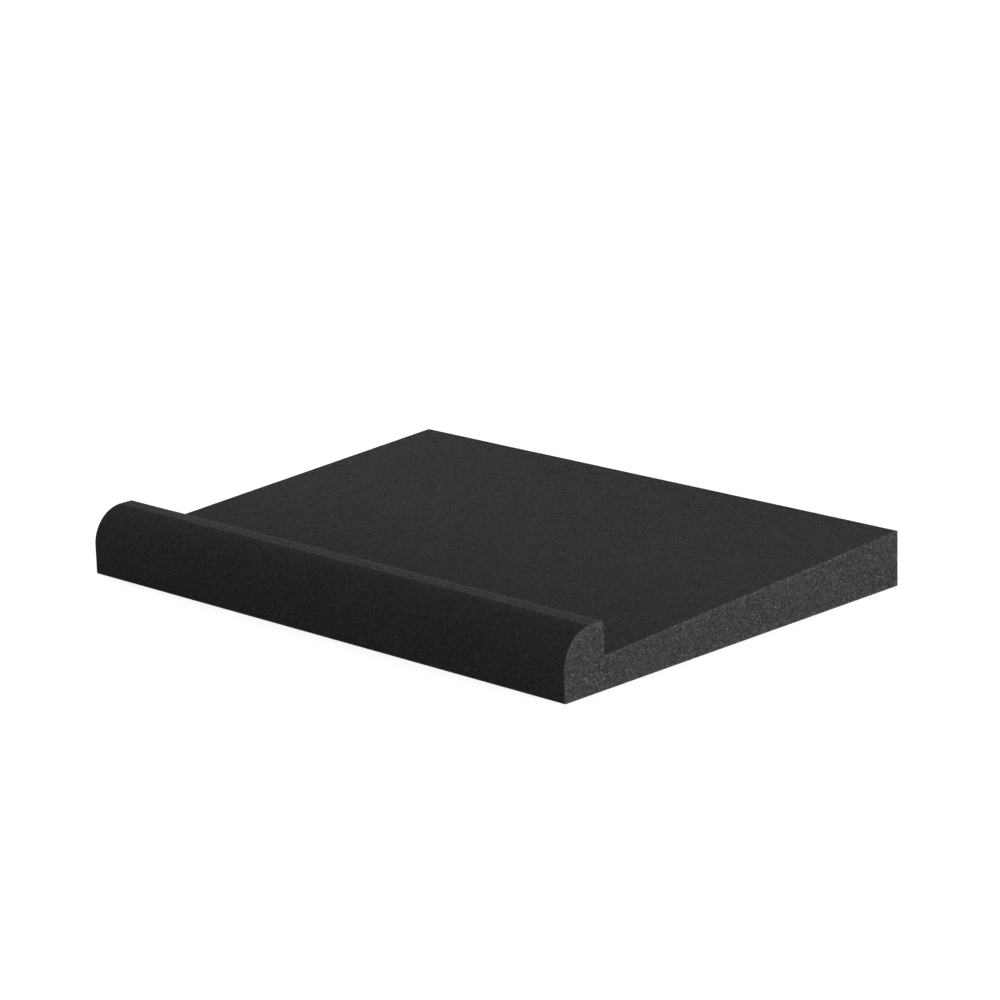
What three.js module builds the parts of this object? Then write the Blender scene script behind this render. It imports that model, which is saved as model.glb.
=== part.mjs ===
// Isolation pad for a studio loudspeaker: one piece of charcoal open-cell foam.
//
// The pad is a sloping slab with an upright lip along its front edge. The loudspeaker stands on
// the slope, which tips it forward, and its front rests against the back of the lip, so that it
// can't creep off. The lip's front is a large quarter round under a narrow flat top. The section
// is the same all the way across, because it is contour-cut from one block, and the ends are
// sawn square.
//
// Millimetres. +X runs across the front, +Y from the lip to the rear, +Z up. The origin is the
// middle of the underside.

import * as THREE from 'three';

// The block
const WIDTH = 330; // across the front
const DEPTH = 240; // from the lip's front face to the rear face

// The slab, measured up from the underside
const FRONT_THICKNESS = 16.6; // where the slope meets the back of the lip
const REAR_THICKNESS = 28.5; // at the rear face

// The lip
const LIP_RISE = 16.9; // how far it stands above the slope at its back
const LIP_DEPTH = 26.5; // from its front face to its back face
const NOSE_RADIUS = 18.5; // quarter round between the front face and the flat top
const CREST_RADIUS = 1.5; // between the flat top and the back face
const HEEL_RADIUS = 0.8; // the blade's turn in the inside corner, from the back face to the slope

const ARC_SEGMENTS = 24;

const FOAM_COLOR = 0x343233;
const FOAM_ROUGHNESS = 0.95;

const foam = new THREE.MeshStandardMaterial({
  name: 'foam',
  color: FOAM_COLOR,
  roughness: FOAM_ROUGHNESS,
  metalness: 0,
});

// The pad's section, seen from its right end: x is the distance along Y, and y is the height.
// It is drawn clockwise from the foot of the front face.
function padSection() {
  const front = -DEPTH / 2;
  const rear = DEPTH / 2;
  const lipBack = front + LIP_DEPTH;
  const lipTop = FRONT_THICKNESS + LIP_RISE;
  const slope = Math.atan2(REAR_THICKNESS - FRONT_THICKNESS, rear - lipBack);
  const section = new THREE.Shape();

  section.moveTo(front, 0);

  // The quarter round takes at most the whole lip, up to the crest.
  const nose = Math.min(NOSE_RADIUS, LIP_DEPTH - CREST_RADIUS, lipTop);
  section.lineTo(front, lipTop - nose);
  section.absarc(front + nose, lipTop - nose, nose, Math.PI, Math.PI / 2, true);

  const crestStart = lipBack - CREST_RADIUS;
  section.lineTo(crestStart, lipTop);
  section.absarc(crestStart, lipTop - CREST_RADIUS, CREST_RADIUS, Math.PI / 2, 0, true);

  // The heel's arc touches the upright back face and the slope.
  const heelCentre = lipBack + HEEL_RADIUS;
  const heelTop = FRONT_THICKNESS + HEEL_RADIUS * (Math.tan(slope) + 1 / Math.cos(slope));
  section.lineTo(lipBack, heelTop);
  section.absarc(heelCentre, heelTop, HEEL_RADIUS, Math.PI, 1.5 * Math.PI + slope, false);

  section.lineTo(rear, REAR_THICKNESS);
  section.lineTo(rear, 0);
  section.closePath();
  return section;
}

// The section swept straight across the pad.
function foamPad() {
  const geometry = new THREE.ExtrudeGeometry(padSection(), {
    depth: WIDTH,
    curveSegments: ARC_SEGMENTS,
    bevelEnabled: false,
  });
  const pad = new THREE.Mesh(geometry, foam);
  pad.name = 'foam_pad';
  // Section x to +Y, section y to +Z, and the sweep to +X.
  pad.rotation.set(Math.PI / 2, Math.PI / 2, 0);
  pad.position.x = -WIDTH / 2;
  return pad;
}

const isolationPad = new THREE.Group();
isolationPad.name = 'speaker_isolation_pad';
isolationPad.add(foamPad());

export default isolationPad;
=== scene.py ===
# Looks of the loudspeaker's isolation pad: the CAD section as a fine foam surface, with its cells,
# its cut edges and its sawn ends, in a plain studio. Metres.
import math

import bmesh
import bpy
from mathutils import Matrix, Vector, noise
from mathutils.geometry import delaunay_2d_cdt

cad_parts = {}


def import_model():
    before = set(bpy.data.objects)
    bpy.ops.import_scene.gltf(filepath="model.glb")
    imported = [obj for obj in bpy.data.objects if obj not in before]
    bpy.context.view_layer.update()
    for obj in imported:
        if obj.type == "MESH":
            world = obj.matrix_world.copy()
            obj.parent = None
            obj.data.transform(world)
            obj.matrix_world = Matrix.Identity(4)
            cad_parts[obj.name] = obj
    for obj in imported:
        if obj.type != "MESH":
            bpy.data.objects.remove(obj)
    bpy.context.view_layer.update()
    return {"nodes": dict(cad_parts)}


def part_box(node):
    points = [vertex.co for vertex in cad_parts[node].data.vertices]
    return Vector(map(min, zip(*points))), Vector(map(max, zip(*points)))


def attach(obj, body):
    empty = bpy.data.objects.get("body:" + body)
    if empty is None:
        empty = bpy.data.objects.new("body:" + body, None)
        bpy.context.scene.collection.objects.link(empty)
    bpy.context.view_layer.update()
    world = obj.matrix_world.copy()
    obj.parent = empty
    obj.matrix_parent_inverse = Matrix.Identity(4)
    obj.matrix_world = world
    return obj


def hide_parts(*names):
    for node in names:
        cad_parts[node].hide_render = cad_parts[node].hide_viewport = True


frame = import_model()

PAD_NODE = "foam_pad"

MM = 0.001

NOSE, PLANED, SAWN = range(3)  # the pad's materials

# Edges that the blade and the saw leave
CUT_EDGE_RADIUS = 0.42 * MM  # along the pad, where CAD has a sharp corner
SAWN_EDGE_RADIUS = 0.36 * MM  # round the outline of both ends, and under CUT_EDGE_RADIUS
SHARP_TURN = math.radians(30)
NEARLY = 0.9  # a direction's part along an axis is over this where it all but follows the axis
ARC_STEPS = 3  # in each round of an edge
EDGE_BEND = 8.0 * MM  # a round of a smaller radius than this is an edge

# The top of the lip is planed flat, a hair past the nose's tangent, which leaves a faint crease.
SKIM_DEPTH = 0.06 * MM

# Spacing of the foam surface's points
STRAIGHT = 2.4 * MM  # a stretch of the section as long as this gets points along it
SECTION_STEP = 2.0 * MM  # widest step round the section
SECTION_CLOSEST = 0.12 * MM  # closest step, on the tight arcs
ACROSS_STEP = 2.2 * MM  # across the pad
END_GRID = 2.0 * MM  # inside the end faces
END_GAP = 0.8 * MM  # least gap between the grid and the row of points along the rim
WELD = 0.001 * MM

# Shallow unevenness of the faces, to either side
WAVE_DEPTH = 0.06 * MM
WAVE_LENGTH = 38 * MM
RIPPLE_DEPTH = 0.025 * MM
RIPPLE_LENGTH = 7 * MM
RIPPLE_SHIFT = Vector((7.3, 1.9, 4.1))

# Foam. A cell is a pore with the struts round it. Grain, clump and cloud say how far the tone
# swings from cell to cell, over a few cells and over the whole face, and painted_glints is the share
# of the cells that get a painted glint, a bright spot painted into the colour.
COOL = (0.0508, 0.0482, 0.0504)
WARM = (0.0526, 0.0479, 0.0501)
GREY = (0.0510, 0.0488, 0.0500)
FOAM_ROUGHNESS = 0.9
FOAM_SPECULAR = 0.0
SHEEN = 0.075
SHEEN_ROUGHNESS = 0.3
CLOUD = 0.03
CLOUD_SIZE = 22 * MM
CLUMP_CELLS = 3.5
STRUT_EDGE = 0.05  # a strut's solid middle and its soft edge, in cells from a cell's border
STRUT_REACH = 0.35
CLOUD_LOW = 0.3  # the middle range of Blender's noise, which is stretched to the whole swing
CLOUD_HIGH = 0.7
PORE_RISE = 0.6  # how much cells differ in height, against a strut's height
# Painted glints: a bright spot in the colour of a few cells, standing in for a lamp caught by a cell.
PAINTED_GLINT_CORE = 0.2  # a glint's bright core and its edge, in cells from the cell's middle
PAINTED_GLINT_REACH = 0.45
# The nose and front are coloured darker than the planed top and the ends: partly their own cut, partly
# painted shade on the faces that turn away from the lamps.
NOSE_FACE = {
    "cell": 0.60 * MM,
    "tint": COOL,
    "tone": 0.91,
    "grain": 0.20,
    "clump": 0.14,
    "painted_glints": 0.0,
}
PLANED_FACE = {
    "cell": 0.60 * MM,
    "tint": WARM,
    "tone": 1.07,
    "grain": 0.28,
    "clump": 0.20,
    "painted_glints": 0.0,
}
SAWN_FACE = {
    "cell": 0.66 * MM,
    "tint": GREY,
    "tone": 1.08,
    "grain": 0.36,
    "clump": 0.09,
    "painted_glints": 0.03,
}
RELIEF = 0.4  # strength of the bump that the struts make
# Painted glint: the tone that a glinting cell adds to the colour.
PAINTED_GLINT = 7.0  # tone that a glinting cell adds

# Painted highlight and painted shade: how much lighter the colour is along the edges and beside the
# crest, where lit rounds would shine, and how much darker in the hollow behind the lip, where the
# lip's shade falls. Both fade out with the distance.
PAINTED_EDGE_HIGHLIGHT = 0.35
RIM_WIDTH = 0.8 * MM
ROW_CLEARANCE = 0.95 * RIM_WIDTH  # a point this near another stretch of the outline is left out
CREST_HIGHLIGHT_WIDTH = 2.4 * MM
# Painted shade on the seat and the lip's back, darkest at the heel and fading over the width below.
PAINTED_HOLLOW_SHADE = -0.27
HOLLOW_SHADE_WIDTH = 110 * MM

# Studio. A lamp has its direction and distance from the middle of the pad, with azimuth 0 behind the
# pad and 90 to its right, its size in metres and its power in watts.
AMBIENT = 0.15
FLOOR_COLOUR = 0.8
FLOOR_REACH = 8.0
LAMPS = {
    "key": {"azimuth": 100, "elevation": 12, "distance": 1.6, "size": (1.0, 0.6), "power": 15.0},
    "back": {"azimuth": 0, "elevation": 5, "distance": 1.6, "size": (2.0, 0.2), "power": 28.0},
    "left": {"azimuth": -90, "elevation": 30, "distance": 0.8, "size": (0.6, 0.3), "power": 2.0},
}

# The floor's glow lights nothing: it makes the floor look white. It is weaker round the pad, where
# the shadow shows, and grows from PAD_SURROUNDS to AWAY, in metres from the middle of the pad.
GLOW_AT_PAD = 0.75
GLOW_AWAY = 0.90
PAD_SURROUNDS = 0.3
AWAY = 1.2

# Camera, from the photograph
LENS = 131.15
SENSOR = 36.0
CAMERA_PLACE = Vector((1.24327, -1.24499, 0.52253))
CAMERA_AZIMUTH = math.radians(44.772)
CAMERA_DIP = math.radians(15.295)
CAMERA_ROLL = math.radians(-1.619)


def cad_section(node):
    """The outline of the pad's right end as (y, z) points, in order round the section."""
    mesh = bmesh.new()
    mesh.from_mesh(node.data)
    bmesh.ops.remove_doubles(mesh, verts=mesh.verts, dist=WELD)
    mesh.normal_update()
    end = {face for face in mesh.faces if face.normal.x > NEARLY}
    neighbours = {}
    for edge in mesh.edges:
        if sum(face in end for face in edge.link_faces) == 1:
            for vert in edge.verts:
                neighbours.setdefault(vert, []).append(edge.other_vert(vert))

    first = min(neighbours, key=lambda vert: vert.co.y + vert.co.z)
    outline = []
    before, at = neighbours[first][0], first
    while at is not first or not outline:
        outline.append(Vector((at.co.y, at.co.z)))
        before, at = at, next(vert for vert in neighbours[at] if vert is not before)
    mesh.free()
    return counter_clockwise(outline)


def counter_clockwise(outline):
    """The same outline, turning left round its inside."""
    pairs = zip(outline, outline[1:] + outline[:1])
    twice_area = sum(a.x * b.y - b.x * a.y for a, b in pairs)
    return outline if twice_area > 0 else outline[::-1]


def skimmed(outline):
    """The outline with the nose's last, almost level stretch planed flat."""
    top = max(point.y for point in outline)
    near_top = [point.x for point in outline if top - point.y < SKIM_DEPTH]
    middle = sum(near_top) / len(near_top)
    result = []
    for point in outline:
        planed = point.x < middle and top - point.y < SKIM_DEPTH
        result.append(Vector((point.x, top)) if planed else point)
    return result


def turn_at(outline, i):
    """How far a counter-clockwise outline turns at a point. It is positive at an outer corner."""
    along = outline[i] - outline[i - 1]
    onward = outline[(i + 1) % len(outline)] - outline[i]
    return math.atan2(along.x * onward.y - along.y * onward.x, along.dot(onward))


def with_cut_corners(outline, radius):
    """The outline with each sharp outer corner made an arc of the given radius."""
    result = []
    for i, corner in enumerate(outline):
        turn = turn_at(outline, i)
        if turn < SHARP_TURN:
            result.append(corner)
            continue
        along = (corner - outline[i - 1]).normalized()
        start = corner - along * (radius * math.tan(turn / 2))
        centre = start + Vector((-along.y, along.x)) * radius
        spoke = start - centre
        for step in range(ARC_STEPS + 1):
            result.append(centre + Matrix.Rotation(turn * step / ARC_STEPS, 2) @ spoke)
    return result


def respaced(outline):
    """The outline with even steps on its straights, a point where each rim ends and no crowding."""
    thinned = outline[:1]
    for point in outline[1:]:
        if (point - thinned[-1]).length >= SECTION_CLOSEST:
            thinned.append(point)
    result = []
    for a, b in zip(thinned, thinned[1:] + thinned[:1]):
        length = (b - a).length
        result.append(a)
        if length < STRAIGHT:
            continue
        rim = RIM_WIDTH / length
        steps = math.ceil((length - 2 * RIM_WIDTH) / SECTION_STEP)
        result += [a.lerp(b, rim + (1 - 2 * rim) * step / steps) for step in range(steps + 1)]
    return result


def is_edge(outline, i):
    """Whether the outline turns outward at a point as tightly as at an edge."""
    before = (outline[i] - outline[i - 1]).length
    after = (outline[(i + 1) % len(outline)] - outline[i]).length
    reach = min(before + after, 4 * before, 4 * after) / 2
    return turn_at(outline, i) > reach / EDGE_BEND


def painted_highlight_and_shade(outline):
    """Painted light at each point of the outline: a painted highlight on the edges and beside the crest,
    painted shade behind the lip.
    """
    top = max(point.y for point in outline)
    crest = max((point for point in outline if point.y > top - WELD), key=lambda point: point.x)
    normals = outward(outline)
    seat = [p for p, normal in zip(outline, normals) if p.x > crest.x and normal.y > NEARLY]
    heel = min((p for p in seat if p.y < top - CUT_EDGE_RADIUS), key=lambda point: point.y)
    result = []
    for i, point in enumerate(outline):
        painted_light = 0.0
        # Painted highlight on the land beside the crest.
        if point.y > top - WELD:
            painted_light = PAINTED_EDGE_HIGHLIGHT * max(0.0, 1 - (crest - point).length / CREST_HIGHLIGHT_WIDTH)
        # Painted shade on the seat behind the lip, darkest at the heel.
        elif point.x > crest.x and point.y > heel.y - WELD:
            painted_light = PAINTED_HOLLOW_SHADE * max(0.0, 1 - (heel - point).length / HOLLOW_SHADE_WIDTH)
        result.append(PAINTED_EDGE_HIGHLIGHT if is_edge(outline, i) else painted_light)
    return result


def outward(outline):
    """The outward direction at each point of a counter-clockwise outline."""
    count = len(outline)
    chords = [(outline[(i + 1) % count] - outline[i - 1]).normalized() for i in range(count)]
    return [Vector((chord.y, -chord.x)) for chord in chords]


def stations(half_width):
    """(x, how far the outline is drawn in, whether on the end's edge) for each ring across the pad."""
    rounding = []
    for step in range(ARC_STEPS + 1):
        angle = step / ARC_STEPS * math.pi / 2
        x = half_width - SAWN_EDGE_RADIUS * (1 - math.cos(angle))
        inset = SAWN_EDGE_RADIUS * (1 - math.sin(angle))
        rounding.append((x, inset, True))
    inner = half_width - SAWN_EDGE_RADIUS - RIM_WIDTH
    spans = math.ceil(2 * inner / ACROSS_STEP)
    middle = [(inner - 2 * inner * step / spans, 0.0, False) for step in range(spans + 1)]
    return rounding + middle + [(-x, inset, edge) for x, inset, edge in reversed(rounding)]


def uneven(place, normal):
    """A point of the surface, moved in or out a little by the waves and ripples of a cut face."""
    wave = noise.noise(place / WAVE_LENGTH)
    ripple = noise.noise(place / RIPPLE_LENGTH + RIPPLE_SHIFT)
    return place + normal * (WAVE_DEPTH * wave + RIPPLE_DEPTH * ripple)


def end_grid(ring, normals):
    """Points inside an end face: a row along the rim's inner side, and a grid clear of that."""
    points = [p - normal * RIM_WIDTH for p, normal in zip(ring[::2], normals[::2])]
    points = [p for p in points if clear_of(ring, p, ROW_CLEARANCE)]
    low = Vector((min(p.x for p in ring), min(p.y for p in ring)))
    high = Vector((max(p.x for p in ring), max(p.y for p in ring)))
    columns = int((high.x - low.x) / END_GRID)
    rows = int((high.y - low.y) / END_GRID)
    for i in range(columns):
        for j in range(rows):
            p = low + Vector((i + 0.5, j + 0.5)) * END_GRID
            if clear_of(ring, p, RIM_WIDTH + END_GAP):
                points.append(p)
    return points


def clear_of(ring, point, distance):
    """Whether a point lies inside a closed outline and keeps a distance from its points."""
    return inside(point, ring) and min((point - q).length for q in ring) > distance


def inside(point, ring):
    """Whether a point lies inside a closed outline."""
    crossings = 0
    for a, b in zip(ring, ring[1:] + ring[:1]):
        if (a.y > point.y) != (b.y > point.y):
            crossings += point.x < a.x + (b.x - a.x) * (point.y - a.y) / (b.y - a.y)
    return crossings % 2 == 1


def swept_rings(mesh, outline, half_width):
    """Rings of points across the pad, each point with its painted light: highlight on the edges, shade
    behind the lip.
    """
    normals = outward(outline)
    painted_light_at_points = painted_highlight_and_shade(outline)
    painted_light = mesh.verts.layers.float.new("painted_light")
    rings = []
    for x, inset, on_edge in stations(half_width):
        ring = []
        for point, normal, painted_light_here in zip(outline, normals, painted_light_at_points):
            flat = point - normal * inset
            vert = mesh.verts.new((x, flat.x, flat.y))
            vert[painted_light] = PAINTED_EDGE_HIGHLIGHT if on_edge else painted_light_here
            ring.append(vert)
        rings.append(ring)
    return rings


def skin(mesh, outline, rings):
    """The faces between the rings, each in its finish."""
    top = max(point.y for point in outline)
    crease = min(point.x for point in outline if point.y > top - WELD)
    last = len(rings) - 1
    for number, (ring, onward) in enumerate(zip(rings, rings[1:])):
        on_end = number < ARC_STEPS or number >= last - ARC_STEPS
        for i in range(len(ring)):
            j = (i + 1) % len(ring)
            face = mesh.faces.new((ring[i], ring[j], onward[j], onward[i]))
            middle = (outline[i] + outline[j]) / 2
            on_nose = middle.x < crease and middle.y > CUT_EDGE_RADIUS
            if on_end:
                face.material_index = SAWN
            else:
                face.material_index = NOSE if on_nose else PLANED


def end_face(mesh, ring, normals):
    """One sawn end, filled with triangles."""
    outer = [Vector((vert.co.y, vert.co.z)) for vert in ring]
    sides = [(i, (i + 1) % len(outer)) for i in range(len(outer))]
    points, _, triangles, *_ = delaunay_2d_cdt(outer + end_grid(outer, normals), sides, [], 1, WELD)
    verts = list(ring)
    verts += [mesh.verts.new((ring[0].co.x, p.x, p.y)) for p in points[len(outer):]]
    for triangle in triangles:
        face = mesh.faces.new([verts[i] for i in triangle])
        face.material_index = SAWN


def make_uneven(mesh):
    """Waves and ripples on the whole skin but for its foot, which stays flat on the floor."""
    mesh.normal_update()
    moved = []
    for vert in mesh.verts:
        rests = vert.co.z < CUT_EDGE_RADIUS
        moved.append(vert.co.copy() if rests else uneven(vert.co, vert.normal))
    for vert, place in zip(mesh.verts, moved):
        vert.co = place


def foam_pad():
    """The pad as one fine closed mesh. Its materials are NOSE, PLANED and SAWN."""
    half_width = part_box(PAD_NODE)[1][0]
    outline = skimmed(cad_section(frame["nodes"][PAD_NODE]))
    outline = respaced(with_cut_corners(outline, CUT_EDGE_RADIUS))
    mesh = bmesh.new()
    rings = swept_rings(mesh, outline, half_width)
    skin(mesh, outline, rings)
    for ring in (rings[0], rings[-1]):
        end_face(mesh, ring, outward(outline))
    bmesh.ops.recalc_face_normals(mesh, faces=mesh.faces)
    make_uneven(mesh)
    for face in mesh.faces:
        face.smooth = True
    for edge in mesh.edges:
        edge.smooth = {face.material_index for face in edge.link_faces} != {NOSE, PLANED}

    data = bpy.data.meshes.new("pad_foam")
    mesh.to_mesh(data)
    mesh.free()
    pad = bpy.data.objects.new("pad_foam", data)
    bpy.context.scene.collection.objects.link(pad)
    return pad


class Nodes:
    """Short calls for making and joining a material's nodes."""

    def __init__(self, tree):
        self.tree = tree
        tree.nodes.clear()

    def add(self, kind, inputs=(), **settings):
        """A new node. Each input is a value, or a socket to join to it."""
        node = self.tree.nodes.new(kind)
        for name, value in settings.items():
            setattr(node, name, value)
        for name, value in dict(inputs).items():
            socket = node.inputs[name]
            if isinstance(value, bpy.types.NodeSocket):
                self.tree.links.new(value, socket)
            else:
                socket.default_value = value
        return node

    def math(self, operation, a, b):
        """The output of a sum, product or the like of two values or sockets."""
        return self.add("ShaderNodeMath", {0: a, 1: b}, operation=operation).outputs[0]

    def remap(self, value, low, high, to_low, to_high):
        """A value from the range low to high, taken to another range and held inside it."""
        inputs = {"Value": value, "From Min": low, "From Max": high, "To Min": to_low, "To Max": to_high}
        return self.add("ShaderNodeMapRange", inputs).outputs["Result"]


def foam_material(name, cell, tint, tone, grain, clump, painted_glints):
    """Charcoal open-cell foam, seen as a section through its cells."""
    material = bpy.data.materials.new(name)
    material.use_nodes = True
    n = Nodes(material.node_tree)
    place = n.add("ShaderNodeTexCoord").outputs["Object"]
    cells = {"Vector": place, "Scale": 1 / cell}

    # Each cell reflects its own share of the light, mostly a little less than the middle and now and
    # then far more, and its struts more than its pore.
    to_strut = n.add("ShaderNodeTexVoronoi", cells, feature="DISTANCE_TO_EDGE").outputs["Distance"]
    strut = n.remap(to_strut, STRUT_EDGE, STRUT_REACH, 1.0, 0.0)
    centre = n.add("ShaderNodeTexVoronoi", cells, feature="F1")
    chance = n.add("ShaderNodeSeparateColor", {"Color": centre.outputs["Color"]})
    share = n.math("POWER", chance.outputs["Red"], 2.0)
    cell_tone = n.remap(share, 0.0, 1.0, tone * (1 - grain), tone * (1 + 2 * grain))
    strut_tone = n.remap(strut, 0.0, 1.0, 1 - grain / 2, 1 + grain / 2)
    total = n.math("MULTIPLY", cell_tone, strut_tone)

    for size, swing in ((CLUMP_CELLS * cell, clump), (CLOUD_SIZE, CLOUD)):
        drift = n.add("ShaderNodeTexNoise", {"Vector": place, "Scale": 1 / size, "Detail": 2.0})
        swung = n.remap(drift.outputs["Fac"], CLOUD_LOW, CLOUD_HIGH, 1 - swing, 1 + swing)
        total = n.math("MULTIPLY", total, swung)

    # Painted light from the mesh: a painted highlight along the edges and beside the crest, painted
    # shade on the seat behind the lip.
    painted_light = n.add("ShaderNodeAttribute", attribute_name="painted_light").outputs["Fac"]
    total = n.math("MULTIPLY", total, n.math("ADD", painted_light, 1.0))

    # A few cells get a painted glint: a bright spot added to the colour, where a lamp would catch a
    # cell.
    painted_glint_cells = n.math("LESS_THAN", chance.outputs["Green"], painted_glints)
    near_centre = n.remap(centre.outputs["Distance"], PAINTED_GLINT_CORE, PAINTED_GLINT_REACH, PAINTED_GLINT, 0.0)
    total = n.math("ADD", total, n.math("MULTIPLY", painted_glint_cells, near_centre))

    colour = n.add("ShaderNodeVectorMath", {0: tint, "Scale": total}, operation="SCALE")
    height = n.math("ADD", strut, n.math("MULTIPLY", chance.outputs["Blue"], PORE_RISE))
    bump = n.add("ShaderNodeBump", {"Height": height, "Strength": RELIEF, "Distance": cell / 2})
    shader = n.add(
        "ShaderNodeBsdfPrincipled",
        {
            "Base Color": colour.outputs["Vector"],
            "Roughness": FOAM_ROUGHNESS,
            "Specular IOR Level": FOAM_SPECULAR,
            "Sheen Weight": SHEEN,
            "Sheen Roughness": SHEEN_ROUGHNESS,
            "Normal": bump.outputs["Normal"],
        },
    )
    n.add("ShaderNodeOutputMaterial", {"Surface": shader.outputs["BSDF"]})
    return material


def seen_as_background(n):
    """1 on a ray that shows the background to the camera: straight, mirrored or through glass."""
    path = n.add("ShaderNodeLightPath")
    seen = n.math("MAXIMUM", path.outputs["Is Camera Ray"], path.outputs["Is Glossy Ray"])
    return n.math("MAXIMUM", seen, path.outputs["Is Transmission Ray"])


def floor_material():
    """Pale paper, with a glow that only makes it look white and lights nothing."""
    material = bpy.data.materials.new("floor")
    material.use_nodes = True
    n = Nodes(material.node_tree)
    pale = (FLOOR_COLOUR, FLOOR_COLOUR, FLOOR_COLOUR, 1.0)
    paper = n.add("ShaderNodeBsdfDiffuse", {"Color": pale}).outputs["BSDF"]
    place = n.add("ShaderNodeTexCoord").outputs["Object"]
    distance = n.add("ShaderNodeVectorMath", {0: place}, operation="LENGTH").outputs["Value"]
    glow_here = n.remap(distance, PAD_SURROUNDS, AWAY, GLOW_AT_PAD, GLOW_AWAY)
    strength = n.math("MULTIPLY", seen_as_background(n), glow_here)
    glow = n.add("ShaderNodeEmission", {"Strength": strength}).outputs["Emission"]
    lit = n.add("ShaderNodeAddShader", {0: paper, 1: glow}).outputs["Shader"]
    n.add("ShaderNodeOutputMaterial", {"Surface": lit})
    return material


def floor():
    """A wide level sheet under the pad."""
    r = FLOOR_REACH
    data = bpy.data.meshes.new("floor")
    data.from_pydata([(-r, -r, 0), (r, -r, 0), (r, r, 0), (-r, r, 0)], [], [(0, 1, 2, 3)])
    data.materials.append(floor_material())
    plane = bpy.data.objects.new("floor", data)
    bpy.context.scene.collection.objects.link(plane)


def world():
    """Soft light from all round, with a background that looks white."""
    studio = bpy.data.worlds.new("studio")
    studio.use_nodes = True
    bpy.context.scene.world = studio
    n = Nodes(studio.node_tree)
    strength = n.remap(seen_as_background(n), 0.0, 1.0, AMBIENT, 1.0)
    light = n.add("ShaderNodeBackground", {"Color": (1, 1, 1, 1), "Strength": strength})
    n.add("ShaderNodeOutputWorld", {"Surface": light.outputs["Background"]})


def lamp(name, azimuth, elevation, distance, size, power):
    """A softbox aimed at the pad."""
    turn = math.radians(azimuth)
    rise = math.radians(elevation)
    towards = Vector((math.sin(turn) * math.cos(rise), math.cos(turn) * math.cos(rise), math.sin(rise)))
    light = bpy.data.lights.new(name, "AREA")
    light.shape = "RECTANGLE"
    light.size, light.size_y = size
    light.energy = power
    box = bpy.data.objects.new(name, light)
    box.location = towards * distance
    box.rotation_euler = towards.to_track_quat("Z", "Y").to_euler()
    box.visible_camera = False
    bpy.context.scene.collection.objects.link(box)


def camera():
    """The photograph's camera. Its frame is square, so the sensor's width is its height too."""
    ahead = Vector(
        (
            -math.sin(CAMERA_AZIMUTH) * math.cos(CAMERA_DIP),
            math.cos(CAMERA_AZIMUTH) * math.cos(CAMERA_DIP),
            -math.sin(CAMERA_DIP),
        )
    )
    right = ahead.cross(Vector((0, 0, 1))).normalized()
    up = right.cross(ahead)
    level = Matrix((right, up, -ahead)).transposed()
    data = bpy.data.cameras.new("camera")
    data.lens = LENS
    data.sensor_width = SENSOR
    obj = bpy.data.objects.new("camera", data)
    turned = level @ Matrix.Rotation(CAMERA_ROLL, 3, "Z")
    obj.matrix_world = Matrix.Translation(CAMERA_PLACE) @ turned.to_4x4()
    bpy.context.scene.collection.objects.link(obj)
    bpy.context.scene.camera = obj


pad = foam_pad()
pad.data.materials.append(foam_material("foam_nose", **NOSE_FACE))
pad.data.materials.append(foam_material("foam_planed", **PLANED_FACE))
pad.data.materials.append(foam_material("foam_sawn", **SAWN_FACE))
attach(pad, "root")
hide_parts(PAD_NODE)

camera()
floor()
world()
for name, settings in LAMPS.items():
    lamp(name, **settings)
bpy.context.scene.view_settings.view_transform = "Standard"
